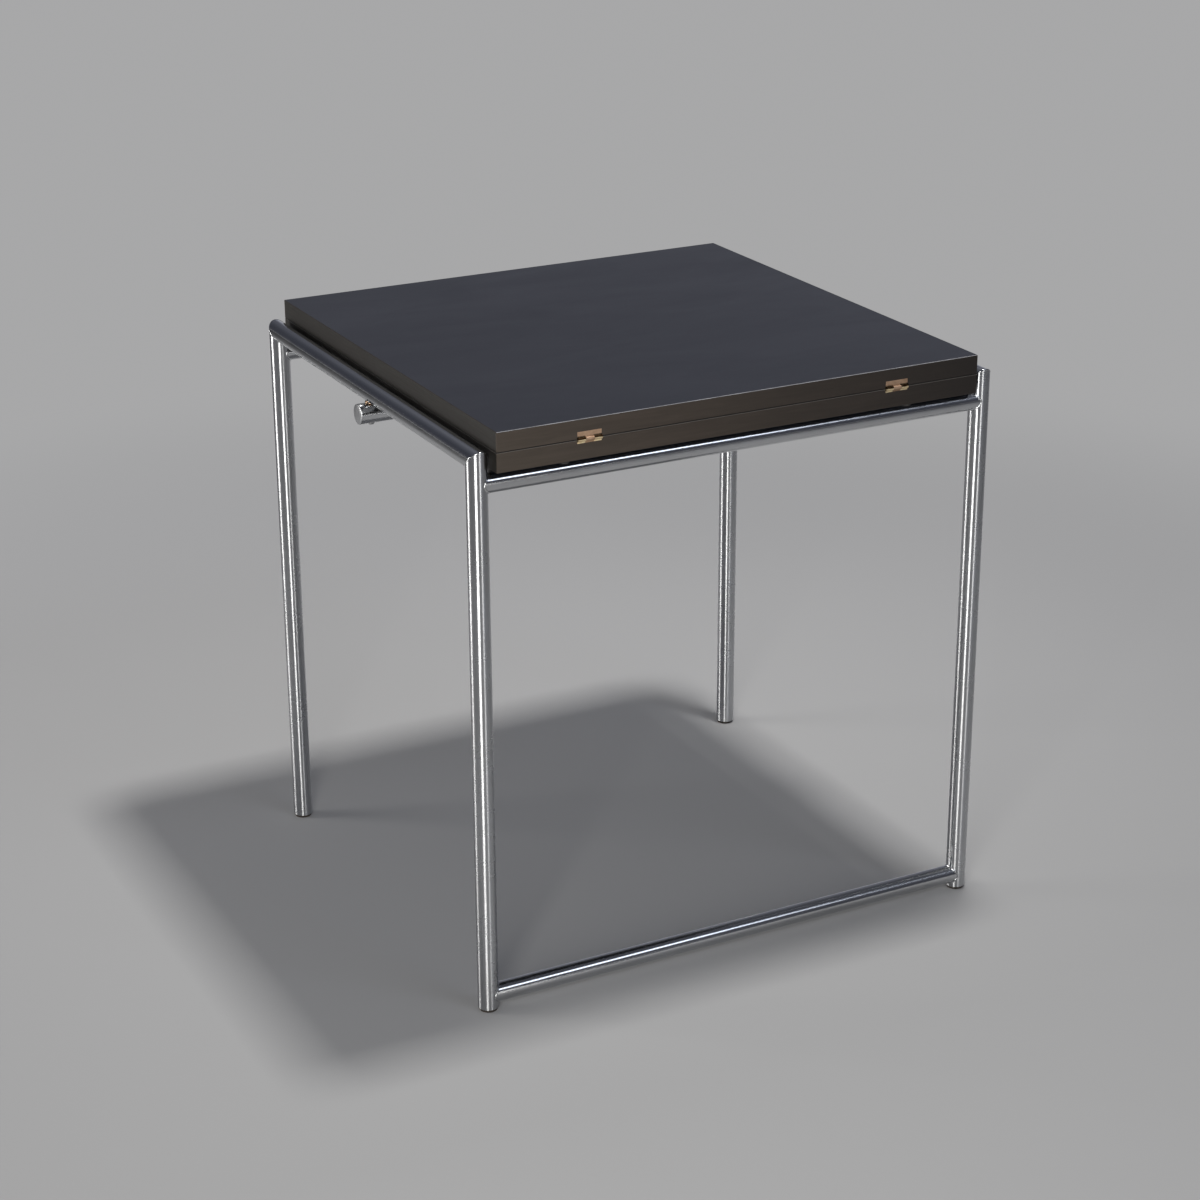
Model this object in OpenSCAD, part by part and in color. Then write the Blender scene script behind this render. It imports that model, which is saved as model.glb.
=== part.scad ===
// Side table with a tube frame and a hinged double top that slides between its side rails.
// The floor is at Z zero, X runs along the front and Y runs to the back. Lengths are millimetres.
// It is drawn folded, with the upper leaf lying on the lower one.

/* [Table] */
// Width over the two side frames
table_width = 640; // [520:1:800]
// Depth over the front and back legs
frame_depth = 572; // [460:1:720]
// Height of the folded top above the floor
table_height = 665; // [480:1:780]

/* [Tubes] */
// Diameter of the legs, the side rails and the middle bar
leg_tube = 23; // [22.5:0.5:28]
// Diameter of the front, back and bottom rails
rail_tube = 21.5; // [16:0.5:22]
// Wall of every tube
tube_wall = 1.5; // [1:0.1:2]
// Gap between the floor and the bottom rail
bottom_rail_gap = 7.5; // [6:0.5:200]
// How far the undersides of the side rails lie above the underside of the lower leaf
side_rail_lift = 1; // [0.3:0.1:4]
// How far the closed ends of the middle bar stand out past the side rails
bar_overhang = 4; // [3:0.5:20]

/* [Leaves] */
// Thickness of one leaf
leaf_thickness = 22; // [18:0.5:28]
// How far the folded top stands out past the frame, front and back
leaf_overhang = 6; // [4:0.5:14]
// Gap between a leaf and the side rail beside it
side_gap = 4; // [2:0.5:9]
// Thickness of the laminate on each face
laminate = 0.8; // [0.6:0.1:1.2]
// Thickness of the bands on the edges
edge_band = 1.5; // [1:0.1:3]
// Width of the small bevel around each face
arris = 0.5; // [0.2:0.1:0.6]

/* [Hinges] */
// Width of a hinge
hinge_width = 28; // [24:0.5:40]
// Distance between the middles of the two hinges
hinge_spacing = 375; // [200:1:430]
// Height of the part of an upper hinge plate that shows on the edge of its leaf
upper_flange = 8.3; // [6:0.1:12]
// Height of the part of a lower hinge plate that shows on the edge of its leaf
lower_flange = 4.2; // [3.8:0.1:9]
// Depth of the part of a hinge plate that is let into the face of a leaf
hinge_tab = 20; // [16:0.5:30]
// Thickness of a hinge plate
hinge_plate = 1.6; // [1.4:0.1:2]
// Diameter of a hinge knuckle
knuckle = 4.8; // [4:0.1:5.4]
// Width of the middle knuckle
middle_knuckle = 9.6; // [7:0.1:12]
// Diameter of a hinge pin
hinge_pin = 2; // [1.6:0.1:2.4]
// Distance from the front of the leaves forward to the hinge axis
hinge_reach = 0.4; // [0.2:0.1:0.8]
// Diameter of the head of a hinge screw
hinge_screw_head = 5.4; // [4.6:0.1:6]
// Diameter of the shank of a hinge screw
hinge_screw = 2.8; // [2.4:0.1:3.2]
// Length of a hinge screw
hinge_screw_length = 13; // [8:0.5:15]
// Distance between the two screws of a hinge plate
hinge_screw_spacing = 15; // [12:0.5:18]

/* [Pads and stops] */
// Height of the pads on the front and back rails
rail_pad_height = 2.5; // [1.5:0.1:8]
// Height of the thin pads on the middle bar
bar_pad_height = 0.8; // [0.6:0.1:3]
// Diameter of a pad
pad_diameter = 14; // [10:0.5:15]
// Distance between the two pads on one tube
pad_spacing = 420; // [200:1:440]
// Diameter of the spigot that holds a pad in its tube
pad_spigot = 4; // [3:0.5:6]
// How far a pad's spigot reaches past the wall of its tube
pad_spigot_grip = 2; // [1:0.5:4]
// Diameter of a stop peg
peg_diameter = 8; // [7:0.5:12]
// Distance from a side of the lower leaf in to the middle of the stop peg there
peg_inset = 8; // [7:0.5:20]
// Gap left between a stop peg and the tube that stops it
peg_clearance = 0.5; // [0.3:0.1:2]
// How far a stop peg reaches below the axis of the lower of the tubes that stop it
peg_pass = 2.3; // [1:0.1:6]
// Diameter of the screw in a stop peg
peg_screw = 3.5; // [3:0.1:4]
// How far the screw of a stop peg goes into the lower leaf
peg_screw_grip = 14; // [8:0.5:15]
// Diameter of the head of a stop peg screw
peg_screw_head = 6.6; // [5:0.1:6.8]
// Height of the head of a stop peg screw
peg_screw_head_height = 2; // [1.5:0.1:3]

/* [Feet and bar fixings] */
// Height of a foot glide below the end of its leg
glide_height = 3.5; // [2:0.1:5.5]
// Length of a foot glide's spigot inside its leg
glide_spigot = 12; // [8:1:30]
// How much smaller a foot glide is than its leg all round where it meets the leg
glide_inset = 0.5; // [0.2:0.1:1]
// How much a foot glide narrows all round towards the floor
glide_taper = 1.5; // [0.5:0.1:3]
// Thickness of the end caps of the middle bar
cap_thickness = 1.5; // [1:0.1:2.5]
// Length of an end cap's spigot inside the middle bar
cap_spigot = 8; // [3:0.5:9]
// Diameter of a bolt that holds the middle bar
bar_bolt = 6; // [5:0.5:6]
// Gap all round a bolt in the holes of the middle bar and its washer
bolt_gap = 0.2; // [0.1:0.05:0.4]
// Diameter of the head of a bar bolt
bar_bolt_head = 8; // [7.5:0.5:11]
// Height of the domed head of a bar bolt
bar_bolt_head_height = 2.2; // [1.5:0.1:3.5]
// How far a bar bolt goes into its insert
bolt_grip = 10; // [6:0.5:12]
// Diameter of the threaded insert in a side rail
insert_diameter = 9; // [8:0.5:10]
// Length of the threaded insert in a side rail
insert_length = 12; // [12:0.5:15]
// Diameter of the washer between the middle bar and a side rail
washer_diameter = 12; // [9:0.5:16]

/* [Hidden] */
// Roundness of the curved faces
$fn = 96;
// Cuts run this far past the faces that they open
overrun = 1;
// Radial play of the moving hinge knuckles on their pins
pin_play = 0.05;
// Gap between the lower leaf and the pads that it slides on
slide_gap = 0.2;
// Gap around the hinge knuckles in the pockets that they turn in
pocket_gap = 0.3;
// Gap between neighbouring knuckles
knuckle_gap = 0.3;
// Height of the dark slot between a lower knuckle and the shoulder of the upper plate
shoulder_gap = 1.2;
// Place of the hinge screws along the tab, from the front edge to the back of the tab
hinge_screw_share = 0.62;

// Radii
leg_r = leg_tube / 2;
rail_r = rail_tube / 2;
bore_r = leg_r - tube_wall;
knuckle_r = knuckle / 2;
pocket_r = knuckle_r + pocket_gap;
peg_r = peg_diameter / 2;

// Heights
seam_z = table_height - leaf_thickness;
leaf_bottom_z = seam_z - leaf_thickness;
side_rail_z = leaf_bottom_z + side_rail_lift + leg_r;
rail_z = leaf_bottom_z - slide_gap - rail_pad_height - rail_r;
bar_z = leaf_bottom_z - slide_gap - bar_pad_height - leg_r;
bar_top_z = bar_z + leg_r;
bottom_rail_z = bottom_rail_gap + rail_r;
bar_underside_z = bar_z - leg_r;
side_rail_underside_z = side_rail_z - leg_r;

// Places of the frame
side_x = table_width / 2 - leg_r;
leg_y = frame_depth / 2 - leg_r;
bar_half = table_width / 2 + bar_overhang - cap_thickness;

// Plan of the leaves. The folded top with its knuckles is centred front to back.
leaf_width = 2 * (side_x - leg_r - side_gap);
leaf_depth = frame_depth + 2 * leaf_overhang;
leaf_front_y = (knuckle_r + hinge_reach - leaf_depth) / 2;
hinge_y = leaf_front_y - hinge_reach;
core_thickness = leaf_thickness - 2 * laminate;

// Hinge screws sit in the tab, and their heads are flush with it.
hinge_screw_y = hinge_reach + hinge_tab * hinge_screw_share;
hinge_screw_head_height = (hinge_screw_head - hinge_screw) / 2;

// The stop pegs start behind the front rail and end in front of the middle bar.
peg_y = peg_r + peg_clearance + rail_r - leg_y;
peg_x = leaf_width / 2 - peg_inset;
peg_end_z = min(rail_z, bar_z) - peg_pass;
peg_length = leaf_bottom_z - peg_end_z;

// General shapes

// An upright tube
module tube(radius, length) {
    difference() {
        cylinder(r = radius, h = length);
        translate([0, 0, -overrun])
            cylinder(r = radius - tube_wall, h = length + 2 * overrun);
    }
}

// A round bar along X from one place to another
module bar_x(from_x, to_x, radius) {
    translate([from_x, 0, 0])
        rotate([0, 90, 0])
            cylinder(r = radius, h = to_x - from_x);
}

// A domed head that hangs from its flat face at Z zero
module domed_head(diameter, height) {
    dome_r = (pow(diameter / 2, 2) + pow(height, 2)) / (2 * height);
    intersection() {
        translate([0, 0, dome_r - height])
            sphere(r = dome_r);
        translate([0, 0, -height])
            cylinder(d = diameter, h = height);
    }
}

// Copies its children to the left and to the right
module both_sides(offset_x) {
    for (side = [-1, 1])
        translate([side * offset_x, 0, 0])
            children();
}

// Copies its children to the front and to the back
module front_and_back(offset_y) {
    for (end = [-1, 1])
        translate([0, end * offset_y, 0])
            children();
}

// Frame

// What lies past the joint plane at the top corner of a leg, on the side of the rail or of the leg
module past_mitre(end, rail_side) {
    reach = 2 * leg_tube;
    translate([0, end * leg_y, side_rail_z])
        rotate([end * 45, 0, 0])
            translate([-leg_tube, -reach, rail_side ? 0 : -reach])
                cube([2 * leg_tube, 2 * reach, reach]);
}

module leg(side, end) {
    translate([side * side_x, 0, 0])
        difference() {
            translate([0, end * leg_y, glide_height])
                tube(leg_r, side_rail_z + leg_r - glide_height);
            past_mitre(end, true);
        }
}

module side_rail(side) {
    translate([side * side_x, 0, 0])
        difference() {
            translate([0, -leg_y - leg_r, side_rail_z])
                rotate([-90, 0, 0])
                    tube(leg_r, 2 * (leg_y + leg_r));
            past_mitre(-1, false);
            past_mitre(1, false);
            translate([0, 0, side_rail_underside_z - overrun])
                cylinder(d = insert_diameter, h = insert_length + overrun);
        }
}

// A thin tube between the left and the right legs, with its ends shaped to them
module cross_rail(end, height) {
    translate([0, end * leg_y, height])
        difference() {
            translate([-side_x, 0, 0])
                rotate([0, 90, 0])
                    tube(rail_r, 2 * side_x);
            both_sides(side_x)
                translate([0, 0, -leg_tube])
                    cylinder(r = leg_r, h = 2 * leg_tube);
        }
}

// Holes in the top of a tube for the spigots of its two pads, seen from the tube's axis
module pad_holes(tube_radius) {
    both_sides(pad_spacing / 2)
        cylinder(d = pad_spigot, h = tube_radius + overrun);
}

module upper_cross_rail(end) {
    difference() {
        cross_rail(end, rail_z);
        translate([0, end * leg_y, rail_z])
            pad_holes(rail_r);
    }
}

// A round pad astride a tube, seen from the tube's axis
module pad(tube_radius, height) {
    difference() {
        cylinder(d = pad_diameter, h = tube_radius + height);
        bar_x(-pad_diameter, pad_diameter, tube_radius);
    }
    translate([0, 0, tube_radius - tube_wall - pad_spigot_grip])
        cylinder(d = pad_spigot, h = tube_wall + pad_spigot_grip + height / 2);
}

module front_left_leg() {
    color("silver")
        leg(-1, -1);
}

module front_right_leg() {
    color("silver")
        leg(1, -1);
}

module back_left_leg() {
    color("silver")
        leg(-1, 1);
}

module back_right_leg() {
    color("silver")
        leg(1, 1);
}

module left_side_rail() {
    color("silver")
        side_rail(-1);
}

module right_side_rail() {
    color("silver")
        side_rail(1);
}

module front_rail() {
    color("silver")
        upper_cross_rail(-1);
}

module back_rail() {
    color("silver")
        upper_cross_rail(1);
}

module bottom_rail() {
    color("silver")
        cross_rail(-1, bottom_rail_z);
}

module middle_bar() {
    color("silver")
        translate([0, 0, bar_z])
            difference() {
                translate([-bar_half, 0, 0])
                    rotate([0, 90, 0])
                        tube(leg_r, 2 * bar_half);
                both_sides(side_x)
                    translate([0, 0, -leg_tube])
                        cylinder(r = bar_bolt / 2 + bolt_gap, h = 2 * leg_tube);
                pad_holes(leg_r);
            }
}

module bar_end_caps() {
    color("gainsboro")
        for (side = [-1, 1])
            translate([side * bar_half, 0, bar_z])
                rotate([0, side * 90, 0]) {
                    cylinder(r = leg_r, h = cap_thickness);
                    translate([0, 0, -cap_spigot])
                        cylinder(r = bore_r, h = cap_spigot + cap_thickness / 2);
                }
}

module rail_inserts() {
    color("goldenrod")
        both_sides(side_x)
            translate([0, 0, side_rail_underside_z])
                difference() {
                    cylinder(d = insert_diameter, h = insert_length);
                    translate([0, 0, -overrun])
                        cylinder(d = bar_bolt, h = insert_length + 2 * overrun);
                }
}

// The washers fill the gap between the middle bar and the side rails.
module bar_washers() {
    gap = side_rail_underside_z - bar_top_z;
    color("goldenrod")
        both_sides(side_x)
            translate([0, 0, bar_top_z])
                difference() {
                    cylinder(d = washer_diameter, h = gap);
                    translate([0, 0, -overrun])
                        cylinder(r = bar_bolt / 2 + bolt_gap, h = gap + 2 * overrun);
                }
}

// Each bolt goes up through the middle bar and its washer into the insert.
module bar_bolts() {
    head_middle = bar_bolt_head_height / 2;
    shank = side_rail_underside_z - bar_underside_z + bolt_grip;
    color("lightgray")
        both_sides(side_x)
            translate([0, 0, bar_underside_z]) {
                domed_head(bar_bolt_head, bar_bolt_head_height);
                translate([0, 0, -head_middle])
                    cylinder(d = bar_bolt, h = shank + head_middle);
            }
}

module foot_glides() {
    top_r = leg_r - glide_inset;
    color("dimgray")
        both_sides(side_x)
            front_and_back(leg_y) {
                cylinder(r1 = top_r - glide_taper, r2 = top_r, h = glide_height);
                translate([0, 0, glide_height])
                    cylinder(r = bore_r, h = glide_spigot);
            }
}

module rail_pads() {
    color("dimgray")
        front_and_back(leg_y)
            both_sides(pad_spacing / 2)
                translate([0, 0, rail_z])
                    pad(rail_r, rail_pad_height);
}

module bar_pads() {
    color("dimgray")
        both_sides(pad_spacing / 2)
            translate([0, 0, bar_z])
                pad(leg_r, bar_pad_height);
}

// Leaves

// Each leaf is drawn below the seam at Z zero. The upper leaf is turned over to lie above it.
module lower_leaf() {
    translate([0, 0, seam_z])
        children();
}

module upper_leaf() {
    translate([0, 0, seam_z])
        mirror([0, 0, 1])
            children();
}

// A flat board in a leaf's plan, drawn in from the edges by the inset, with its top at the height
module board(inset, height, thickness) {
    translate([inset - leaf_width / 2, leaf_front_y + inset, height - thickness])
        cube([leaf_width - 2 * inset, leaf_depth - 2 * inset, thickness]);
}

// Cuts the bevel around a face of a leaf
module face_bevel(height) {
    side = arris * sqrt(2);
    for (edge_y = [leaf_front_y, leaf_front_y + leaf_depth])
        translate([0, edge_y, height])
            rotate([45, 0, 0])
                cube([leaf_width + 2 * overrun, side, side], center = true);
    for (edge_x = [-leaf_width / 2, leaf_width / 2])
        translate([edge_x, leaf_front_y + leaf_depth / 2, height])
            rotate([0, 45, 0])
                cube([side, leaf_depth + 2 * overrun, side], center = true);
}

// Puts its children on the axis of each hinge
module at_hinges() {
    both_sides(hinge_spacing / 2)
        translate([0, hinge_y, 0])
            children();
}

// The two screws of a hinge plate, seen from the hinge axis
module screw_pair() {
    both_sides(hinge_screw_spacing / 2)
        translate([0, hinge_screw_y, -hinge_screw_length]) {
            cylinder(d = hinge_screw, h = hinge_screw_length);
            translate([0, 0, hinge_screw_length - hinge_screw_head_height])
                cylinder(d1 = hinge_screw, d2 = hinge_screw_head, h = hinge_screw_head_height);
        }
}

// The bent plate of a hinge before its knuckles: a tab in the face and a flange on the edge
module plate_blank(flange) {
    translate([-hinge_width / 2, hinge_reach, -hinge_plate])
        cube([hinge_width, hinge_tab, hinge_plate]);
    translate([-hinge_width / 2, hinge_reach, -flange])
        cube([hinge_width, hinge_plate, flange]);
}

// What a leaf leaves free for a hinge: the recess of the plate and the pocket of the knuckles
module hinge_recess(flange) {
    pocket_half = hinge_width / 2 + knuckle_gap;
    tab_back = hinge_reach + hinge_tab;
    flange_back = hinge_reach + hinge_plate;
    translate([-hinge_width / 2, -overrun, -hinge_plate])
        cube([hinge_width, overrun + tab_back, hinge_plate + overrun]);
    translate([-hinge_width / 2, -overrun, -flange])
        cube([hinge_width, overrun + flange_back, flange + overrun]);
    bar_x(-pocket_half, pocket_half, pocket_r);
}

module core(flange) {
    difference() {
        board(edge_band, -laminate, core_thickness);
        at_hinges() {
            hinge_recess(flange);
            screw_pair();
        }
    }
}

module inner_laminate(flange) {
    difference() {
        board(0, 0, laminate);
        face_bevel(0);
        at_hinges()
            hinge_recess(flange);
    }
}

module outer_laminate() {
    difference() {
        board(0, laminate - leaf_thickness, laminate);
        face_bevel(-leaf_thickness);
    }
}

// A band along the front or the back edge
module cross_band(front_y) {
    translate([-leaf_width / 2, front_y, laminate - leaf_thickness])
        cube([leaf_width, edge_band, core_thickness]);
}

module front_band(flange) {
    difference() {
        cross_band(leaf_front_y);
        at_hinges()
            hinge_recess(flange);
    }
}

module back_band() {
    cross_band(leaf_front_y + leaf_depth - edge_band);
}

module side_bands() {
    for (edge_x = [-leaf_width / 2, leaf_width / 2 - edge_band])
        translate([edge_x, leaf_front_y + edge_band, laminate - leaf_thickness])
            cube([edge_band, leaf_depth - 2 * edge_band, core_thickness]);
}

// The screws of the stop pegs pass up through the pegs into the lower leaf.
module peg_screw_shanks() {
    head_middle = peg_screw_head_height / 2;
    both_sides(peg_x)
        translate([0, peg_y, peg_end_z - head_middle])
            cylinder(d = peg_screw, h = head_middle + peg_length + peg_screw_grip);
}

// Lower leaf

module lower_core() {
    color("burlywood")
        difference() {
            lower_leaf()
                core(lower_flange);
            peg_screw_shanks();
        }
}

module lower_inner_laminate() {
    color("#24252b")
        lower_leaf()
            inner_laminate(lower_flange);
}

module lower_outer_laminate() {
    color("#24252b")
        difference() {
            lower_leaf()
                outer_laminate();
            peg_screw_shanks();
        }
}

module lower_front_band() {
    color("#2c2522")
        lower_leaf()
            front_band(lower_flange);
}

module lower_back_band() {
    color("#2c2522")
        lower_leaf()
            back_band();
}

module lower_side_bands() {
    color("#2c2522")
        lower_leaf()
            side_bands();
}

// The lower plates carry the two outer knuckles, and the pin sits tight in them.
module lower_hinge_plates() {
    inner_x = middle_knuckle / 2 + knuckle_gap;
    color("goldenrod")
        lower_leaf()
            at_hinges()
                difference() {
                    union() {
                        difference() {
                            plate_blank(lower_flange);
                            bar_x(-inner_x, inner_x, pocket_r);
                        }
                        bar_x(-hinge_width / 2, -inner_x, knuckle_r);
                        bar_x(inner_x, hinge_width / 2, knuckle_r);
                    }
                    bar_x(-hinge_width, hinge_width, hinge_pin / 2);
                    screw_pair();
                }
}

module lower_hinge_screws() {
    color("goldenrod")
        lower_leaf()
            at_hinges()
                screw_pair();
}

module hinge_pins() {
    color("goldenrod")
        lower_leaf()
            at_hinges()
                bar_x(-hinge_width / 2, hinge_width / 2, hinge_pin / 2);
}

module stop_pegs() {
    color("dimgray")
        both_sides(peg_x)
            translate([0, peg_y, peg_end_z])
                difference() {
                    cylinder(r = peg_r, h = peg_length);
                    translate([0, 0, -overrun])
                        cylinder(d = peg_screw, h = peg_length + 2 * overrun);
                }
}

module stop_peg_screws() {
    color("lightgray") {
        peg_screw_shanks();
        both_sides(peg_x)
            translate([0, peg_y, peg_end_z])
                domed_head(peg_screw_head, peg_screw_head_height);
    }
}

// Upper leaf

module upper_core() {
    color("burlywood")
        upper_leaf()
            core(upper_flange);
}

module upper_inner_laminate() {
    color("#24252b")
        upper_leaf()
            inner_laminate(upper_flange);
}

module upper_outer_laminate() {
    color("#24252b")
        upper_leaf()
            outer_laminate();
}

module upper_front_band() {
    color("#2c2522")
        upper_leaf()
            front_band(upper_flange);
}

module upper_back_band() {
    color("#2c2522")
        upper_leaf()
            back_band();
}

module upper_side_bands() {
    color("#2c2522")
        upper_leaf()
            side_bands();
}

// What the upper plate leaves free beside its middle knuckle: the pocket and the dark slot
module outer_slots(half) {
    slot = knuckle_r + shoulder_gap;
    for (side = [-1, 1])
        translate([side * (half + hinge_width / 2), 0, 0]) {
            bar_x(-hinge_width / 2, hinge_width / 2, pocket_r);
            translate([-hinge_width / 2, 0, -slot])
                cube([hinge_width, hinge_reach + hinge_plate, slot + overrun]);
        }
}

// The upper plates carry the middle knuckle, which turns on the pin.
module upper_hinge_plates() {
    half = middle_knuckle / 2;
    color("goldenrod")
        upper_leaf()
            at_hinges()
                difference() {
                    union() {
                        difference() {
                            plate_blank(upper_flange);
                            outer_slots(half);
                        }
                        bar_x(-half, half, knuckle_r);
                    }
                    bar_x(-hinge_width, hinge_width, hinge_pin / 2 + pin_play);
                    screw_pair();
                }
}

module upper_hinge_screws() {
    color("goldenrod")
        upper_leaf()
            at_hinges()
                screw_pair();
}

front_left_leg();
front_right_leg();
back_left_leg();
back_right_leg();
left_side_rail();
right_side_rail();
front_rail();
back_rail();
bottom_rail();
middle_bar();
bar_end_caps();
rail_inserts();
bar_washers();
bar_bolts();
foot_glides();
rail_pads();
bar_pads();
lower_core();
lower_inner_laminate();
lower_outer_laminate();
lower_front_band();
lower_back_band();
lower_side_bands();
lower_hinge_plates();
lower_hinge_screws();
hinge_pins();
stop_pegs();
stop_peg_screws();
upper_core();
upper_inner_laminate();
upper_outer_laminate();
upper_front_band();
upper_back_band();
upper_side_bands();
upper_hinge_plates();
upper_hinge_screws();
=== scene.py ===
import math
import random

import bmesh
import bpy
from mathutils import Matrix, Vector

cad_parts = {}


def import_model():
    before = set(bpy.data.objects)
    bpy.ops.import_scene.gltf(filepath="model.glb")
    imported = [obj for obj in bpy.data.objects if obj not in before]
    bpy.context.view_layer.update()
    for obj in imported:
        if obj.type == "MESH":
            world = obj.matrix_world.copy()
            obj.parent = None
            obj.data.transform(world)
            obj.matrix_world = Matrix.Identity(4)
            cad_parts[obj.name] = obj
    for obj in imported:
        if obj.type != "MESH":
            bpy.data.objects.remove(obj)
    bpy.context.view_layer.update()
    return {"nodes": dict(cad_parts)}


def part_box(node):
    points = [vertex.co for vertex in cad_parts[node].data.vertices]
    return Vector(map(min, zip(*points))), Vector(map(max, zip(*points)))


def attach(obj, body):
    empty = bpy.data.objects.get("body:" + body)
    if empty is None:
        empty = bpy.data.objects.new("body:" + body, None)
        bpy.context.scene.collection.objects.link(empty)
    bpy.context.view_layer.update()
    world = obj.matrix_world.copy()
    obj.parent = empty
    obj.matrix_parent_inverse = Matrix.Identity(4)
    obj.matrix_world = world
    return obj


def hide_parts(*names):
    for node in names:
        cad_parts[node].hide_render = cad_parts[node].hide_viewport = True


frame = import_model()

MM = 0.001
random.seed(7)


# Places taken from the frame

def centre(node):
    lo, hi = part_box(node)
    return (lo + hi) / 2


LEG_NODES = ["front_left_leg", "front_right_leg", "back_left_leg", "back_right_leg"]
CROSS_RAILS = ["front_rail", "back_rail", "bottom_rail"]
LEG_LO, LEG_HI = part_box("front_right_leg")
LEG_R = (LEG_HI.x - LEG_LO.x) / 2
LEG_X = (LEG_HI.x + LEG_LO.x) / 2
LEG_Y = -(LEG_HI.y + LEG_LO.y) / 2
LEG_BOTTOM = LEG_LO.z
SIDE_Z = centre("right_side_rail").z
RAIL_R = (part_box("front_rail")[1].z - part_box("front_rail")[0].z) / 2
BAR_Z = centre("middle_bar").z
BAR_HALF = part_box("middle_bar")[1].x
SEAM_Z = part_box("lower_inner_laminate")[1].z
PIN_HALF, KNUCKLE_HALF = 14 * MM, 4.9 * MM
HINGE_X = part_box("hinge_pins")[1].x - PIN_HALF
HINGE_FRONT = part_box("lower_front_band")[0].y + 2 * MM


# Node helpers

class Tree:
    """A node tree with short calls. A value may be a number, a colour or another node's output."""

    def __init__(self, tree):
        self.tree = tree

    def add(self, kind, inputs=None, **props):
        n = self.tree.nodes.new(kind)
        for k, v in props.items():
            setattr(n, k, v)
        for k, v in (inputs or {}).items():
            self.put(n.inputs[k], v)
        return n

    def put(self, socket, value):
        if isinstance(value, bpy.types.NodeSocket):
            self.tree.links.new(value, socket)
        else:
            socket.default_value = value

    def texture(self, output):
        """One of the coordinates; Object is in metres in the part's own frame."""
        if not hasattr(self, "texco"):
            self.texco = self.add("ShaderNodeTexCoord")
        return self.texco.outputs[output]

    def split(self, vector):
        return self.add("ShaderNodeSeparateXYZ", {"Vector": vector}).outputs

    def math(self, op, a, b=0.0, clamp=False):
        return self.add("ShaderNodeMath", {0: a, 1: b}, operation=op, use_clamp=clamp).outputs[0]

    def times(self, first, *others):
        for other in others:
            first = self.math("MULTIPLY", first, other)
        return first

    def flip(self, value):
        return self.span(value, 0, 1, 1, 0)

    def span(self, value, lo, hi, to_lo=0.0, to_hi=1.0, smooth=False):
        """The value's place between lo and hi, mapped to to_lo and to_hi and held there outside."""
        return self.add("ShaderNodeMapRange", {
            "Value": value, "From Min": lo, "From Max": hi, "To Min": to_lo, "To Max": to_hi},
            interpolation_type="SMOOTHSTEP" if smooth else "LINEAR").outputs["Result"]

    def mix(self, fac, a, b):
        n = self.add("ShaderNodeMix", data_type="RGBA")
        self.put(n.inputs[0], fac)
        self.put(n.inputs[6], a if isinstance(a, bpy.types.NodeSocket) else (*a, 1))
        self.put(n.inputs[7], b if isinstance(b, bpy.types.NodeSocket) else (*b, 1))
        return n.outputs[2]

    def ramp(self, value, stops):
        """A colour for each value: stops lists (place, red, green, blue)."""
        n = self.add("ShaderNodeValToRGB", {0: value})
        elements = n.color_ramp.elements
        while len(elements) < len(stops):
            elements.new(0.5)
        for element, (at, *colour) in zip(elements, stops):
            element.position, element.color = at, (*colour, 1)
        return n.outputs[0]


class Material(Tree):
    """A material round the Principled shader."""

    def __init__(self, name):
        self.mat = bpy.data.materials.new(name)
        self.mat.use_nodes = True
        super().__init__(self.mat.node_tree)
        self.bsdf = self.tree.nodes["Principled BSDF"]

    def set(self, **values):
        for k, v in values.items():
            self.put(self.bsdf.inputs[k.replace("_", " ")], v)

    def place(self):
        return self.split(self.texture("Object"))

    def facing(self):
        return self.split(self.texture("Normal"))

    def stretched(self, scale):
        n = self.add("ShaderNodeMapping", {"Vector": self.texture("Object")})
        n.inputs["Scale"].default_value = scale
        return n.outputs["Vector"]

    def noise(self, scale, detail=4.0, rough=0.55, stretch=(1, 1, 1), distortion=0.0):
        return self.add("ShaderNodeTexNoise", {
            "Vector": self.stretched(stretch), "Scale": scale, "Detail": detail,
            "Roughness": rough, "Distortion": distortion}).outputs["Fac"]

    def voronoi(self, scale):
        return self.add("ShaderNodeTexVoronoi", {
            "Vector": self.stretched((1, 1, 1)), "Scale": scale}).outputs["Distance"]

    def bump(self, height, distance, strength=1.0, under=None):
        n = self.add("ShaderNodeBump", {
            "Height": height, "Distance": distance, "Strength": strength})
        if under is not None:
            self.put(n.inputs["Normal"], under)
        return n.outputs["Normal"]


# Materials

POLISH_DEPTH = 0.0015 * MM
GRAIN_DEPTH = 0.02 * MM


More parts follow.
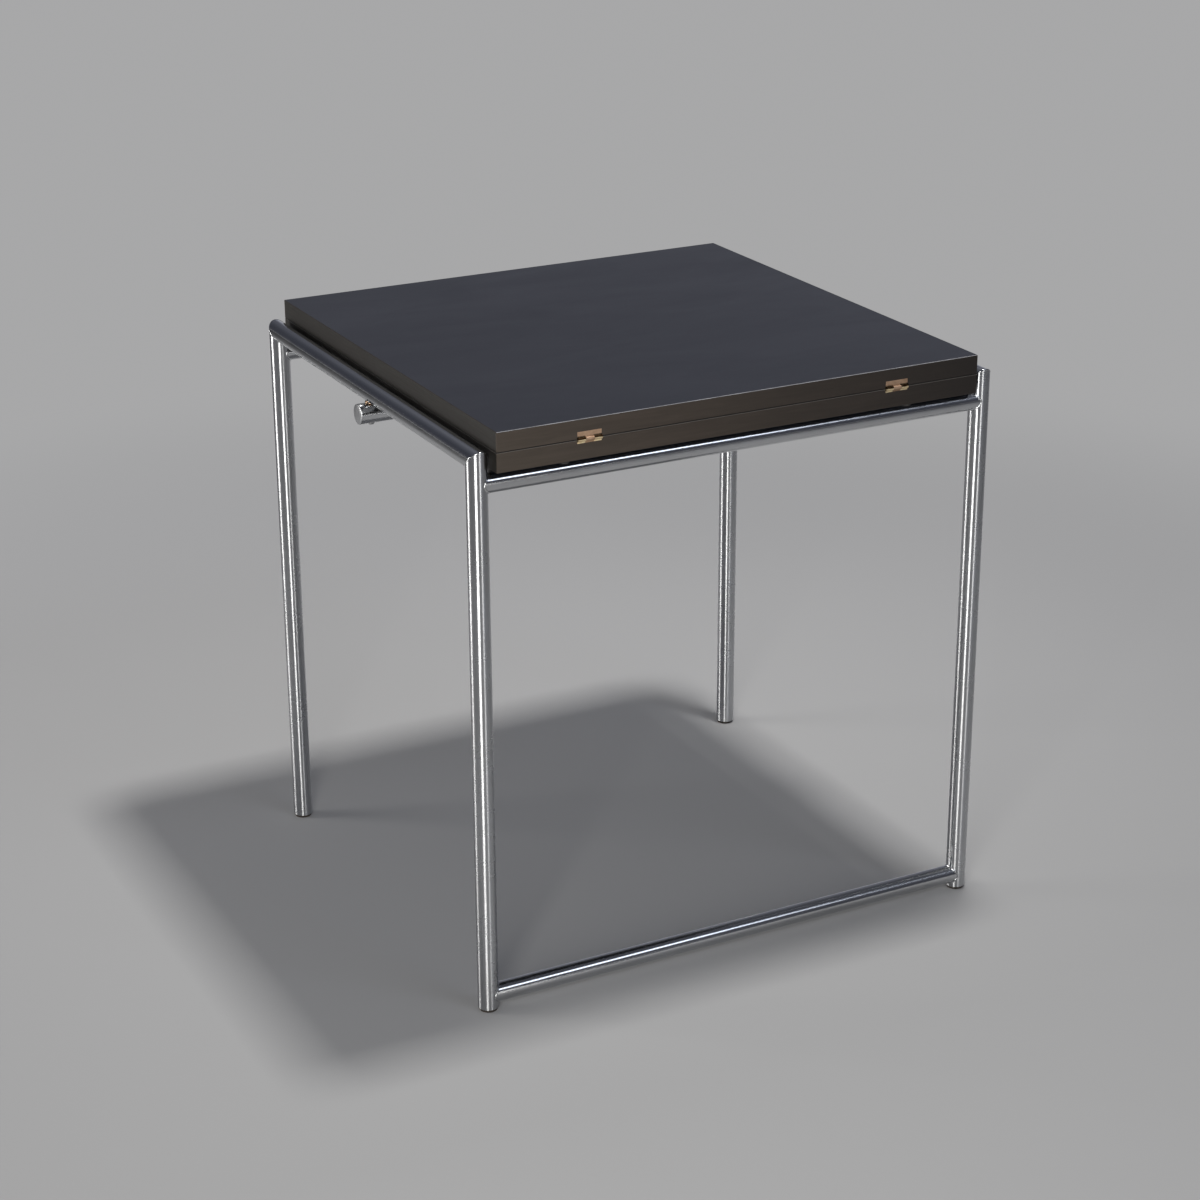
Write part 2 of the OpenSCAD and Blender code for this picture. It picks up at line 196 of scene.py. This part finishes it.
def chrome(name, axis, anisotropy=0.0, rough=0.17, waves=0.06 * MM):
    """Old polished chrome. The polishing lines run round the tube, so light smears along it."""
    n = Material(name)
    across = {"X": (90, 1, 1), "Y": (1, 90, 1), "Z": (1, 1, 90)}.get(axis, (6, 6, 6))
    lines = n.noise(60, 3, 0.6, across)
    dull = n.span(n.noise(9, 5, 0.6), 0.35, 0.75)
    pits = n.span(n.voronoi(420), 0.1, 0.04)
    pitted = n.times(pits, n.span(n.noise(26, 6, 0.7), 0.63, 0.7))
    tint = n.mix(dull, (0.56, 0.57, 0.585), (0.50, 0.505, 0.51))
    tint = n.mix(pitted, tint, (0.12, 0.10, 0.085))
    roughness = n.span(n.noise(34, 5, 0.65), 0.3, 0.8, rough - 0.015, rough + 0.02)
    roughness = n.math("ADD", roughness, n.times(pitted, 0.2))
    wavy = n.bump(n.noise(22, 2, 0.5), waves, 0.5)
    fine = n.bump(lines, POLISH_DEPTH, 0.2, wavy)
    n.set(Base_Color=tint, Roughness=roughness, Metallic=1.0, Normal=fine)
    if axis:
        tangent = n.add("ShaderNodeTangent", direction_type="RADIAL", axis=axis).outputs["Tangent"]
        n.set(Anisotropic=anisotropy, Anisotropic_Rotation=0.25, Tangent=tangent)
    return n.mat


def laminate():
    """Satin black laminate with a fine grain, faint wipe marks and worn edges, with a painted
    highlight on the top's front arris and painted shade on arrises that face down and over the
    seam.
    """
    n = Material("black laminate")
    place, face = n.place(), n.facing()
    grain = n.noise(1500, 3, 0.6)

    haze = n.span(n.noise(2.2, 3, 0.5), 0.3, 0.7)
    base = n.mix(haze, (0.0105, 0.0120, 0.0180), (0.0135, 0.0150, 0.0215))
    specks = n.span(n.voronoi(46), 0.045, 0.02)
    base = n.mix(n.times(specks, 0.3), base, (0.09, 0.09, 0.1))

    # Cut edges and arrises: slope is 1 on the faces and 0 on the cut edges
    slope = n.math("ABSOLUTE", face["Z"])
    cut = n.span(slope, 0.3, 0.25)
    bevel = n.span(slope, 0.97, 0.9)
    arris = n.times(n.span(slope, 0.3, 0.45), bevel)
    base = n.mix(cut, base, (0.036, 0.028, 0.022))
    base = n.mix(arris, base, (0.034, 0.03, 0.027))

    # The front arris of the top that faces up is painted pale as a highlight, broken up by ragged
    # wear, and arrises that face down are painted nearly black as shade
    rise = n.math("SUBTRACT", place["Z"], SEAM_Z)
    seam = n.span(n.math("ABSOLUTE", rise), 4 * MM, 3 * MM)
    facing_up = n.span(face["Z"], 0, 0.1)
    facing_front = n.span(face["Y"], -0.3, -0.5)
    worn = n.span(n.noise(38, 4, 0.7), 0.25, 0.6, 0.45, 1)
    front_arris_highlight = n.times(arris, facing_front, facing_up, worn, n.flip(seam))
    base = n.mix(front_arris_highlight, base, (0.28, 0.28, 0.30))
    base = n.mix(n.times(arris, n.flip(facing_up)), base, (0.004, 0.004, 0.004))

    # The line between the leaves: painted shade over the seam, and a painted highlight on the lower
    # leaf's cut edge under it
    edge = n.times(seam, bevel)
    above = n.span(rise, -0.1 * MM, 0.1 * MM)
    base = n.mix(n.times(edge, above), base, (0.004, 0.0035, 0.003))
    base = n.mix(n.times(edge, n.flip(above), cut), base, (0.15, 0.14, 0.13))

    wiped = n.span(n.noise(5, 4, 0.6, (1, 2.6, 1), 0.6), 0.3, 0.75, 0.33, 0.40)
    rough = n.math("ADD", wiped, n.span(grain, 0.3, 0.7, -0.03, 0.03))
    n.set(Base_Color=base, Roughness=rough, Normal=n.bump(grain, GRAIN_DEPTH, 0.35),
          Specular_IOR_Level=0.28)
    return n.mat


def edge_band(name, dark, light, haze, right_shade=0.0):
    """Dark stained edge of the boards: faint grain and a soft sheen; right_shade paints shade that
    darkens it towards the right.
    """
    n = Material(name)
    fibre = n.noise(70, 5, 0.65, (0.35, 0.35, 9))
    base = n.mix(n.span(n.noise(16, 4, 0.6, (1, 1, 14), 0.4), 0.35, 0.7), dark, light)
    base = n.mix(n.span(n.noise(6, 3, 0.5), 0.35, 0.7, 0, 0.5), base, haze)
    if right_shade:
        # Painted shade: the band darkens towards the right, where less light falls on it
        base = n.mix(n.span(n.place()["X"], -0.3, 0.3, 0, right_shade), base, (0.012, 0.010, 0.009))
    n.set(Base_Color=base, Roughness=n.span(fibre, 0.3, 0.7, 0.44, 0.58),
          Normal=n.bump(fibre, 3 * GRAIN_DEPTH, 0.4), Specular_IOR_Level=0.3)
    return n.mat


def core():
    """The board inside a leaf, seen only in the recesses."""
    n = Material("core board")
    flakes = n.noise(240, 5, 0.7, (1, 1, 2))
    base = n.mix(n.span(flakes, 0.3, 0.7), (0.13, 0.085, 0.05), (0.28, 0.2, 0.12))
    n.set(Base_Color=base, Roughness=n.span(flakes, 0.3, 0.7, 0.7, 0.85),
          Normal=n.bump(flakes, 10 * GRAIN_DEPTH, 0.5))
    return n.mat


def brass(name, bright, dark, rough, shade=None):
    """Aged brass: brushed and bright where it is rubbed. shade(n, base) may tarnish parts of it and
    paint shade on them.
    """
    n = Material(name)
    brush = n.noise(300, 3, 0.6, (0.25, 1, 2.5))
    tarnish = n.span(n.noise(95, 5, 0.65), 0.38, 0.66)
    base = n.mix(tarnish, bright, dark)
    if shade:
        base = shade(n, base)
    roughness = n.span(tarnish, 0, 1, rough, rough + 0.14)
    roughness = n.math("ADD", roughness, n.span(brush, 0.3, 0.7, -0.04, 0.04))
    n.set(Base_Color=base, Roughness=roughness, Metallic=1.0,
          Normal=n.bump(brush, GRAIN_DEPTH, 0.5))
    return n.mat


def knuckle_tarnish_and_shade(n, base):
    """The lower plates: brown tarnish between the knuckles and inside, and painted shade and dark
    reflection, nearly black, above the seam.
    """
    place = n.place()
    off = n.math("ABSOLUTE", n.math("SUBTRACT", n.math("ABSOLUTE", place["X"]), HINGE_X))
    base = n.mix(n.span(off, KNUCKLE_HALF + 0.3 * MM, KNUCKLE_HALF), base, (0.40, 0.26, 0.165))
    inside = n.span(place["Y"], HINGE_FRONT, HINGE_FRONT + 0.5 * MM)
    base = n.mix(inside, base, (0.54, 0.37, 0.25))
    # Painted shade and dark reflection: nearly black on the knuckles above the seam, along a ragged
    # line
    ragged = n.span(n.noise(260, 3, 0.6), 0.3, 0.7, -0.3 * MM, 0.3 * MM)
    rise = n.math("ADD", n.math("SUBTRACT", place["Z"], SEAM_Z), ragged)
    return n.mix(n.span(rise, 0.1 * MM, 0.7 * MM), base, (0.03, 0.016, 0.007))


def steel():
    n = Material("zinc steel")
    scuff = n.noise(420, 4, 0.6)
    base = n.mix(n.span(scuff, 0.3, 0.7), (0.42, 0.42, 0.43), (0.6, 0.6, 0.6))
    n.set(Base_Color=base, Roughness=n.span(scuff, 0.3, 0.7, 0.28, 0.42), Metallic=1.0,
          Normal=n.bump(scuff, 1.5 * GRAIN_DEPTH, 0.4))
    return n.mat


def nylon(name, low, high):
    """Moulded dark nylon with a dusty bloom."""
    n = Material(name)
    dust = n.noise(60, 5, 0.65)
    base = n.mix(n.span(dust, 0.4, 0.75), low, high)
    n.set(Base_Color=base, Roughness=n.span(dust, 0.3, 0.7, 0.5, 0.7),
          Normal=n.bump(n.noise(900, 3, 0.6), 2.5 * GRAIN_DEPTH, 0.4))
    return n.mat


CHROME = {"X": chrome("chrome along X", "X", 0.35, 0.175, 0.03 * MM),
          "Y": chrome("chrome along Y", "Y", 0.25, 0.165, 0.03 * MM),
          "Z": chrome("chrome along Z", "Z", 1.0, 0.28, 0.015 * MM)}
CHROME_PLAIN = chrome("chrome of the welds", None, rough=0.12)
CAP_METAL = chrome("chrome of the caps", None, rough=0.3)
LAMINATE = laminate()
# The front and back bands are painted darker towards the right as shade
EDGE = edge_band("dark edge band",
                 (0.050, 0.0375, 0.0285), (0.068, 0.0515, 0.040), (0.052, 0.044, 0.034), 0.9)
# The side bands are the same edge band, painted darker as shade
SHADED_SIDE_EDGE = edge_band("dark side band",
                      (0.017, 0.0145, 0.012), (0.023, 0.020, 0.017), (0.019, 0.018, 0.015))
CORE = core()
HINGE_DARK = brass("brown brass", (0.56, 0.385, 0.265), (0.40, 0.265, 0.175), 0.5)
HINGE_BRIGHT = brass("rubbed brass", (0.96, 0.79, 0.50), (0.80, 0.62, 0.37), 0.36, knuckle_tarnish_and_shade)
SCREW_BRASS = brass("screw brass", (0.82, 0.64, 0.40), (0.52, 0.37, 0.23), 0.3)
COPPERY = brass("coppery brass", (0.64, 0.46, 0.31), (0.36, 0.235, 0.15), 0.26)
STEEL = steel()
NYLON = nylon("black nylon", (0.018, 0.017, 0.016), (0.06, 0.055, 0.05))
GLIDE = nylon("brown black glide", (0.026, 0.019, 0.015), (0.075, 0.06, 0.048))


def dress(material, *nodes):
    """Gives CAD nodes a material in place of the one that they came with."""
    for name in nodes:
        o = frame["nodes"][name]
        for s in o.material_slots:
            s.material = material
        if not o.material_slots:
            o.data.materials.append(material)


# Mesh helpers

TUBE_SIDES, TUBE_ROWS, BEAD_SIDES = 96, 20, 12


def finish_mesh(name, bm, material, body, smooth_angle=35):
    bmesh.ops.recalc_face_normals(bm, faces=bm.faces)
    me = bpy.data.meshes.new(name)
    bm.to_mesh(me)
    bm.free()
    for p in me.polygons:
        p.use_smooth = True
    me.set_sharp_from_angle(angle=math.radians(smooth_angle))
    o = bpy.data.objects.new(name, me)
    bpy.context.scene.collection.objects.link(o)
    me.materials.append(material)
    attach(o, body)
    return o


def axis_frame(axis):
    """Two cross directions and the direction along an axis."""
    x, y, z = Vector((1, 0, 0)), Vector((0, 1, 0)), Vector((0, 0, 1))
    return {"X": (y, z, x), "Y": (z, x, y), "Z": (x, y, z)}[axis]


def turn_angles(count):
    return [2 * math.pi * k / count for k in range(count)]


def add_band(bm, row, following):
    """Faces between two closed rows of as many points."""
    for k in range(len(row)):
        j = (k + 1) % len(row)
        bm.faces.new((row[k], row[j], following[j], following[k]))


def add_ends(bm, first, last):
    bm.faces.new(list(reversed(first)))
    bm.faces.new(last)


def add_tube(bm, axis, mid, radius, start, end):
    """A round tube whose ends follow start(angle) and end(angle), measured along the axis."""
    u, v, w = axis_frame(axis)
    rows = []
    for i in range(TUBE_ROWS + 1):
        t = i / TUBE_ROWS
        t = t * t * (3 - 2 * t)
        rows.append([bm.verts.new(mid + (u * math.cos(a) + v * math.sin(a)) * radius
                                  + w * (start(a) + (end(a) - start(a)) * t))
                     for a in turn_angles(TUBE_SIDES)])
    for row, following in zip(rows, rows[1:]):
        add_band(bm, row, following)
    add_ends(bm, rows[0], rows[-1])


def add_ring(bm, points, radii):
    """A closed round bead through points, with one radius for each point."""
    middle = sum(points, Vector()) / len(points)
    rows = []
    for i, (p, r) in enumerate(zip(points, radii)):
        along = (points[(i + 1) % len(points)] - points[i - 1]).normalized()
        out = p - middle
        out = (out - along * out.dot(along)).normalized()
        third = along.cross(out)
        rows.append([bm.verts.new(p + (out * math.cos(b) + third * math.sin(b)) * r)
                     for b in turn_angles(BEAD_SIDES)])
    for row, following in zip(rows, rows[1:] + rows[:1]):
        add_band(bm, row, following)


def add_lathe(bm, place, profile, sides):
    """A turned solid: profile lists (radius, height) from end to end, place sets it down."""
    rows = []
    for r, h in profile:
        rows.append([bm.verts.new(place @ Vector((r * math.cos(a), r * math.sin(a), h)))
                     for a in turn_angles(sides if r else 1)])
    for row, following in zip(rows, rows[1:]):
        if len(row) == len(following):
            add_band(bm, row, following)
        else:
            tip, rim = sorted((row, following), key=len)
            for k in range(sides):
                bm.faces.new((tip[0], rim[(k + 1) % sides], rim[k]))
    for row in (rows[0], rows[-1]):
        if len(row) > 1:
            bm.faces.new(row)


# Frame tubes

def tube(node, axis, mid, radius, start, end):
    """The smooth tube shown in place of a CAD tube."""
    bm = bmesh.new()
    add_tube(bm, axis, mid, radius, start, end)
    o = finish_mesh(node + "_tube", bm, CHROME[axis], "frame")
    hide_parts(node)


def leg(node, side, end):
    tube(node, "Z", Vector((side * LEG_X, end * LEG_Y, 0)), LEG_R,
         lambda a: LEG_BOTTOM, lambda a: SIDE_Z + end * LEG_R * math.sin(a))


def side_rail(node, side):
    tube(node, "Y", Vector((side * LEG_X, 0, SIDE_Z)), LEG_R,
         lambda a: -LEG_Y - LEG_R * math.cos(a), lambda a: LEG_Y + LEG_R * math.cos(a))


def coped(a):
    """How far a thin rail's end lies from the leg's axis at an angle round the rail."""
    return math.sqrt(LEG_R ** 2 - (RAIL_R * math.cos(a)) ** 2)


def cross_rail(node):
    tube(node, "X", centre(node), RAIL_R,
         lambda a: -LEG_X + coped(a), lambda a: LEG_X - coped(a))


def weld_beads():
    """Small polished weld beads where the thin rails meet the legs."""
    sunk, out = 0.1 * MM, 0.2 * MM
    bm = bmesh.new()
    for node in CROSS_RAILS:
        for side in (-1, 1):
            points, radii = [], []
            phase = random.uniform(0, 6)
            for a in turn_angles(72):
                rim = Vector((0, math.cos(a), math.sin(a))) * (RAIL_R - sunk)
                points.append(centre(node) + rim + Vector((side * (LEG_X - coped(a) + out), 0, 0)))
                uneven = 0.16 * math.sin(5 * a + phase) + 0.1 * math.sin(11 * a + 2 * phase)
                radii.append((1.15 + uneven) * MM)
            add_ring(bm, points, radii)
    finish_mesh("rail_weld_beads", bm, CHROME_PLAIN, "frame", 60)


def mitre_seams():
    """The polished seam round each mitred corner of the side frames."""
    r, bead = LEG_R - 0.75 * MM, 0.98 * MM
    bm = bmesh.new()
    for side in (-1, 1):
        for end in (-1, 1):
            mid = Vector((side * LEG_X, end * LEG_Y, SIDE_Z))
            points = [mid + Vector((r * math.cos(a), r * math.sin(a), end * r * math.sin(a)))
                      for a in turn_angles(TUBE_SIDES)]
            add_ring(bm, points, [bead] * len(points))
    finish_mesh("mitre_seams", bm, CHROME_PLAIN, "frame", 60)


def bar_caps():
    """The bar's flat end discs with soft rims, each with a spigot in the bar."""
    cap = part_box("bar_end_caps")[1].x - BAR_HALF
    r, edge, spigot = LEG_R, 0.35 * MM, LEG_R - 1.6 * MM
    bm = bmesh.new()
    for side in (-1, 1):
        place = (Matrix.Translation(Vector((side * BAR_HALF, 0, BAR_Z)))
                 @ Matrix.Rotation(side * math.pi / 2, 4, "Y"))
        add_lathe(bm, place, [
            (spigot, -6 * MM), (spigot, 0), (r - edge, 0.02 * MM), (r, edge),
            (r, cap - edge), (r - edge * 0.3, cap - edge * 0.3), (r - edge, cap),
            (r * 0.4, cap - 0.06 * MM), (0, cap - 0.08 * MM)], 72)
    o = finish_mesh("bar_end_discs", bm, CAP_METAL, "frame", 40)
    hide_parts("bar_end_caps")


def bolts():
    """The low domed bolt heads under the middle bar, each with the end of its shank."""
    lo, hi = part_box("bar_bolts")
    r, shank = (hi.y - lo.y) / 2, 2.9 * MM
    seat = BAR_Z - LEG_R
    height = seat - lo.z
    dome = [(r * math.cos(t), height * math.sin(t)) for t in (math.pi / 20 * k for k in range(10))]
    bm = bmesh.new()
    for side in (-1, 1):
        place = (Matrix.Translation(Vector((side * LEG_X, 0, seat)))
                 @ Matrix.Rotation(math.pi, 4, "X"))
        add_lathe(bm, place, [(shank, -4 * MM), (shank, -0.2 * MM), (r * 0.96, -0.15 * MM)]
                  + dome + [(0, height)], 40)
    o = finish_mesh("bar_bolt_heads", bm, STEEL, "frame")
    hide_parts("bar_bolts")


def washers():
    lo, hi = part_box("bar_washers")
    r, t, edge, hole = (hi.y - lo.y) / 2, hi.z - lo.z, 0.2 * MM, 3.3 * MM
    bm = bmesh.new()
    for side in (-1, 1):
        place = Matrix.Translation(Vector((side * LEG_X, 0, lo.z)))
        add_lathe(bm, place, [
            (hole, 0), (r - edge, 0), (r, edge), (r, t - edge), (r - edge, t), (hole, t)], 56)
    o = finish_mesh("bar_washer_rings", bm, COPPERY, "frame")
    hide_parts("bar_washers")


def glides():
    """Foot glides: a slightly dished foot, a rounded rim and a narrow dark joint under the tube."""
    h, r = LEG_BOTTOM, LEG_R - 0.5 * MM
    bm = bmesh.new()
    for side in (-1, 1):
        for end in (-1, 1):
            place = Matrix.Translation(Vector((side * LEG_X, end * LEG_Y, 0)))
            add_lathe(bm, place, [
                (0, 0.25 * MM), (r * 0.45, 0.2 * MM), (r * 0.62, 0), (r - 1.6 * MM, 0),
                (r - 1.1 * MM, 0.25 * MM), (r - 0.75 * MM, 0.8 * MM), (r - 0.2 * MM, h - 0.7 * MM),
                (r, h - 0.45 * MM), (r, h - 0.2 * MM), (r - 0.5 * MM, h),
                (r - 1.4 * MM, h + 2 * MM)], 64)
    o = finish_mesh("foot_glide_caps", bm, GLIDE, "frame")
    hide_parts("foot_glides")


def hinge_screws(node, name, body, turn):
    """Slotted countersunk screws in the hinge plates. turn points their heads up or down."""
    lo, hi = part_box(node)
    r = (hi.y - lo.y) / 2
    spread = hi.x - r - HINGE_X
    face = lo.z if turn else hi.z
    length, shank, half_slot, deep = hi.z - lo.z, 1.4 * MM, 0.45 * MM, 0.55 * MM
    head = ((r - deep, -deep - 0.02 * MM), (r - 0.1 * MM, -0.1 * MM), (r - 0.2 * MM, 0))
    steps = 16
    bm = bmesh.new()
    for side, off, twist in ((-1, -1, 0.5), (-1, 1, 1.3), (1, -1, 2.4), (1, 1, 0.9)):
        at = Vector((side * HINGE_X + off * spread, (lo.y + hi.y) / 2, face))
        place = (Matrix.Translation(at) @ Matrix.Rotation(turn, 4, "X")
                 @ Matrix.Rotation(twist + turn * 0.3, 4, "Z"))
        add_lathe(bm, place, [
            (0, -length), (shank * 0.4, -length + 0.6 * MM), (shank, -length + 2.4 * MM),
            (shank, shank - r), (r - deep, -deep), (0, -deep)], 40)
        for half in (0, math.pi):
            rows = []
            for rim, z in head:
                edge = math.asin(half_slot / rim)
                arc = [half + edge + (math.pi - 2 * edge) * i / steps for i in range(steps + 1)]
                rows.append([bm.verts.new(place @ Vector((rim * math.cos(a), rim * math.sin(a), z)))
                             for a in arc])
            for row, following in zip(rows, rows[1:]):
                add_band(bm, row, following)
            add_ends(bm, rows[0], rows[-1])
    o = finish_mesh(name, bm, SCREW_BRASS, body, 30)
    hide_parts(node)


for node, side, end in zip(LEG_NODES, (-1, 1, -1, 1), (-1, -1, 1, 1)):
    leg(node, side, end)
side_rail("left_side_rail", -1)
side_rail("right_side_rail", 1)
for node in CROSS_RAILS:
    cross_rail(node)
weld_beads()
mitre_seams()
tube("middle_bar", "X", Vector((0, 0, BAR_Z)), LEG_R, lambda a: -BAR_HALF, lambda a: BAR_HALF)
bar_caps()
bolts()
washers()
glides()
hinge_screws("lower_hinge_screws", "lower_slotted_screws", "lower_top", 0)
hinge_screws("upper_hinge_screws", "upper_slotted_screws", "upper_top", math.pi)

dress(NYLON, "rail_pads", "bar_pads", "stop_pegs")
dress(STEEL, "stop_peg_screws")
dress(COPPERY, "rail_inserts")
dress(LAMINATE, "lower_inner_laminate", "lower_outer_laminate",
      "upper_inner_laminate", "upper_outer_laminate")
dress(EDGE, "lower_front_band", "lower_back_band", "upper_front_band", "upper_back_band")
dress(SHADED_SIDE_EDGE, "lower_side_bands", "upper_side_bands")
dress(CORE, "lower_core", "upper_core")
dress(HINGE_DARK, "upper_hinge_plates")
dress(HINGE_BRIGHT, "lower_hinge_plates", "hinge_pins")
for node in ("upper_hinge_plates", "lower_hinge_plates"):
    m = frame["nodes"][node].modifiers.new("soft edges", "BEVEL")
    m.width = 0.18 * MM
    m.segments = 2
    m.angle_limit = math.radians(40)


# Stage, light and camera

FLOOR_RADIUS = 40
FLOOR_TONE = 0.40
FAR_TONE = 0.39
PALE = (FAR_TONE, FAR_TONE, FAR_TONE * 1.01)


def sees_pale(tree, metal):
    """1 for rays that see the pale background: the camera's, glass's, and metal's by its share."""
    path = tree.add("ShaderNodeLightPath").outputs
    seen = tree.math("ADD", path["Is Camera Ray"], path["Is Transmission Ray"], clamp=True)
    return tree.math("ADD", seen, tree.times(path["Is Glossy Ray"], metal), clamp=True)


def floor():
    """A pale floor: lit and shadowed near the table, evenly pale far away.

    Metal sees the far part pale to the right behind the table, and dimmer to the left.
    """
    bpy.ops.mesh.primitive_circle_add(vertices=96, radius=FLOOR_RADIUS, fill_type="NGON")
    o = bpy.context.object
    o.name = "floor"
    n = Material("pale floor")
    place = n.place()
    left_back = n.times(n.span(place["X"], -0.9, -0.3, 1, 0), n.span(place["Y"], 1.0, 2.0))
    right_back = n.times(n.span(place["X"], 0.2, 1.2), n.span(place["Y"], 0.3, 1.2))
    glossy = n.add("ShaderNodeLightPath").outputs["Is Glossy Ray"]
    dull = n.span(n.times(glossy, left_back), 0, 1, 1, 0.35)
    # Painted light: the floor's colour grows paler towards the back, making up for the lamps' light
    # that falls off there
    tone = n.times(n.span(place["Y"], -0.5, 1.6, FLOOR_TONE, FLOOR_TONE * 1.57), dull)
    n.set(Base_Color=tone, Roughness=0.85, Specular_IOR_Level=0.2)
    away = n.add("ShaderNodeVectorMath", {0: n.texture("Object")}, operation="LENGTH")
    far = n.span(away.outputs["Value"], 1.0, 2.1, smooth=True)
    glow = n.add("ShaderNodeEmission", {"Color": (*PALE, 1)}).outputs[0]
    pale = n.times(far, sees_pale(n, right_back))
    both = n.add("ShaderNodeMixShader", {0: pale, 1: n.bsdf.outputs[0], 2: glow}).outputs[0]
    n.put(n.tree.nodes["Material Output"].inputs["Surface"], both)
    o.data.materials.append(n.mat)


def world():
    """A dim room, darkest overhead and paler behind to the right.

    The camera, and metal just over the horizon, see it as pale as the far floor.
    """
    w = bpy.data.worlds.new("studio")
    bpy.context.scene.world = w
    w.use_nodes = True
    t = Tree(w.node_tree)
    for old in list(t.tree.nodes):
        t.tree.nodes.remove(old)
    way = t.texture("Generated")
    height = t.split(way)["Z"]
    right_back = t.ramp(height, [
        (0.0, 0.36, 0.36, 0.38), (0.02, 0.45, 0.46, 0.52), (0.19, 0.39, 0.40, 0.46),
        (0.32, 0.15, 0.155, 0.185), (0.42, 0.085, 0.09, 0.115), (0.53, 0.37, 0.375, 0.42),
        (0.62, 0.12, 0.125, 0.15), (0.8, 0.08, 0.085, 0.10)])
    elsewhere = t.ramp(height, [
        (0.0, 0.06, 0.062, 0.075), (0.22, 0.055, 0.058, 0.075), (0.38, 0.06, 0.064, 0.08),
        (0.53, 0.115, 0.12, 0.145), (0.62, 0.12, 0.125, 0.145), (1.0, 0.07, 0.075, 0.09)])
    turn = t.add("ShaderNodeVectorMath", {0: way, 1: (0.6, 0.8, 0)}, operation="DOT_PRODUCT")
    room = t.mix(t.span(turn.outputs["Value"], 0.55, 0.98, smooth=True), elsewhere, right_back)
    seen = t.mix(sees_pale(t, t.span(height, 0.012, 0.006)), room, PALE)
    background = t.add("ShaderNodeBackground", {"Color": seen}).outputs[0]
    t.add("ShaderNodeOutputWorld", {"Surface": background})


def lamp(name, at, look, width, height, power, colour):
    d = bpy.data.lights.new(name, "AREA")
    d.energy = power
    d.color = colour
    d.shape = "RECTANGLE"
    d.size, d.size_y = width, height
    o = bpy.data.objects.new(name, d)
    o.location = at
    o.rotation_euler = (Vector(look) - Vector(at)).to_track_quat("-Z", "Y").to_euler()
    o.visible_camera = False
    bpy.context.scene.collection.objects.link(o)


def camera():
    """The photograph's camera, from the fit of the legs and the top's corners."""
    yaw, pitch, roll = math.radians(27.4418), math.radians(21.4139), math.radians(-0.3010)
    at = Vector((-1.377297, -2.603168, 1.484610))
    lens_pixels, picture_pixels = 2662.6, 1200
    cam = bpy.data.cameras.new("photo camera")
    cam.sensor_width = 36
    cam.lens = lens_pixels / picture_pixels * cam.sensor_width
    forward = Vector((math.sin(yaw) * math.cos(pitch), math.cos(yaw) * math.cos(pitch),
                      -math.sin(pitch)))
    right = Vector((math.cos(yaw), -math.sin(yaw), 0))
    up = right.cross(forward)
    rolled_right = right * math.cos(roll) + up * math.sin(roll)
    rolled_up = -right * math.sin(roll) + up * math.cos(roll)
    turned = Matrix((rolled_right, rolled_up, -forward)).transposed().to_4x4()
    o = bpy.data.objects.new("photo camera", cam)
    o.matrix_world = Matrix.Translation(at) @ turned
    bpy.context.scene.collection.objects.link(o)
    bpy.context.scene.camera = o


WARM, WARMER, COLD = (1.0, 0.985, 0.96), (1.0, 0.985, 0.95), (0.81, 0.865, 1.0)
floor()
world()
lamp("key over the table", (0.38, -0.15, 2.75), (0.38, -0.15, 0), 0.3, 0.3, 42, WARM)
lamp("high front window", (1.55, -3.5, 3.45), (0.1, -0.27, 0.4), 1.7, 1.0, 20, COLD)
lamp("low front strip", (0.35, -3.3, 0.55), (0.35, 0, 0.55), 0.7, 1.0, 12, WARM)
lamp("left front softbox", (-1.35, -1.88, 0.78), (-0.2, -0.2, 0.78), 0.6, 1.54, 28, WARMER)
lamp("left back strip", (-3.6, 2.0, 0.75), (-0.2, 0.1, 0.75), 1.4, 1.3, 70, (1.0, 0.98, 0.95))
camera()
bpy.context.scene.view_settings.view_transform = "Standard"
